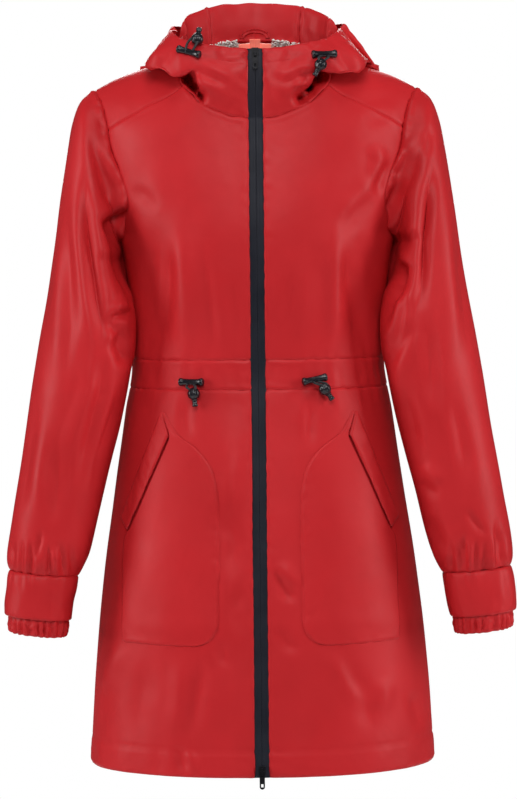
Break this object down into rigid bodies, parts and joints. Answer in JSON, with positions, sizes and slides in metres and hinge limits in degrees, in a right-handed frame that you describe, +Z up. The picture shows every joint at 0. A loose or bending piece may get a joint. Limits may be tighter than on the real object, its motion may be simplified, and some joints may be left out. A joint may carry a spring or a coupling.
{
  "type": "raincoat",
  "caption": "Red hooded women's raincoat, zipped shut and filled out as worn, with a drawcord waist, patch pockets and gathered inner cuffs.",
  "frame": {"origin": "the middle of the shoulders at the height of the neck, where the wearer's shoulders carry the coat", "axes": "+Z up, from hem to hood; the front and its zip face -Y; the wearer's left sleeve is on +X"},
  "size_m": [0.63, 0.33, 0.9643],
  "materials": {
    "shell_cloth": "smooth coated cloth, satin",
    "zip_tape": "coated water-resistant tape, satin",
    "hard_plastic": "glossy black",
    "dark_metal": "black lacquer, satin",
    "coral_tape": "ribbed grosgrain",
    "fleece": "curly pile"
  },
  "bodies": {
    "coat": {"front_upper_left": "shell_cloth", "yoke_left": "shell_cloth", "waist_casing_front_left": "shell_cloth", "skirt_front_left": "shell_cloth", "sleeve_left": "shell_cloth", "cuff_left": "shell_cloth", "inner_cuff_left": "shell_cloth", "hood_side_left": "shell_cloth", "pocket_left": "shell_cloth", "pocket_welt_left": "shell_cloth", "zip_tape_left": "zip_tape", "hood_lock_left": "hard_plastic", "hood_grip_left": "hard_plastic", "waist_lock_left": "hard_plastic", "waist_grip_left": "hard_plastic", "front_upper_right": "shell_cloth", "yoke_right": "shell_cloth", "waist_casing_front_right": "shell_cloth", "skirt_front_right": "shell_cloth", "sleeve_right": "shell_cloth", "cuff_right": "shell_cloth", "inner_cuff_right": "shell_cloth", "hood_side_right": "shell_cloth", "pocket_right": "shell_cloth", "pocket_welt_right": "shell_cloth", "zip_tape_right": "zip_tape", "hood_lock_right": "hard_plastic", "hood_grip_right": "hard_plastic", "waist_lock_right": "hard_plastic", "waist_grip_right": "hard_plastic", "back_upper": "shell_cloth", "waist_casing_back": "shell_cloth", "skirt_back": "shell_cloth", "hood_centre": "shell_cloth", "hanger_loop": "shell_cloth", "fleece_facing": "fleece", "neck_tape": "coral_tape", "label_tab": "coral_tape", "slider_top": "dark_metal", "slider_bottom": "dark_metal"},
    "top_pull": {"pull_top": "dark_metal"},
    "bottom_pull": {"pull_bottom": "dark_metal"}
  },
  "joints": [
    {"name": "top_pull_swing", "type": "hinge", "parent": "coat", "child": "top_pull", "pos_m": [0, -0.11077, 0.00108], "axis": [-1, 0, 0], "range_deg": [0, 170]},
    {"name": "bottom_pull_swing", "type": "hinge", "parent": "coat", "child": "bottom_pull", "pos_m": [0, -0.15779, -0.86623], "axis": [-1, 0, 0], "range_deg": [0, 170]}
  ]
}
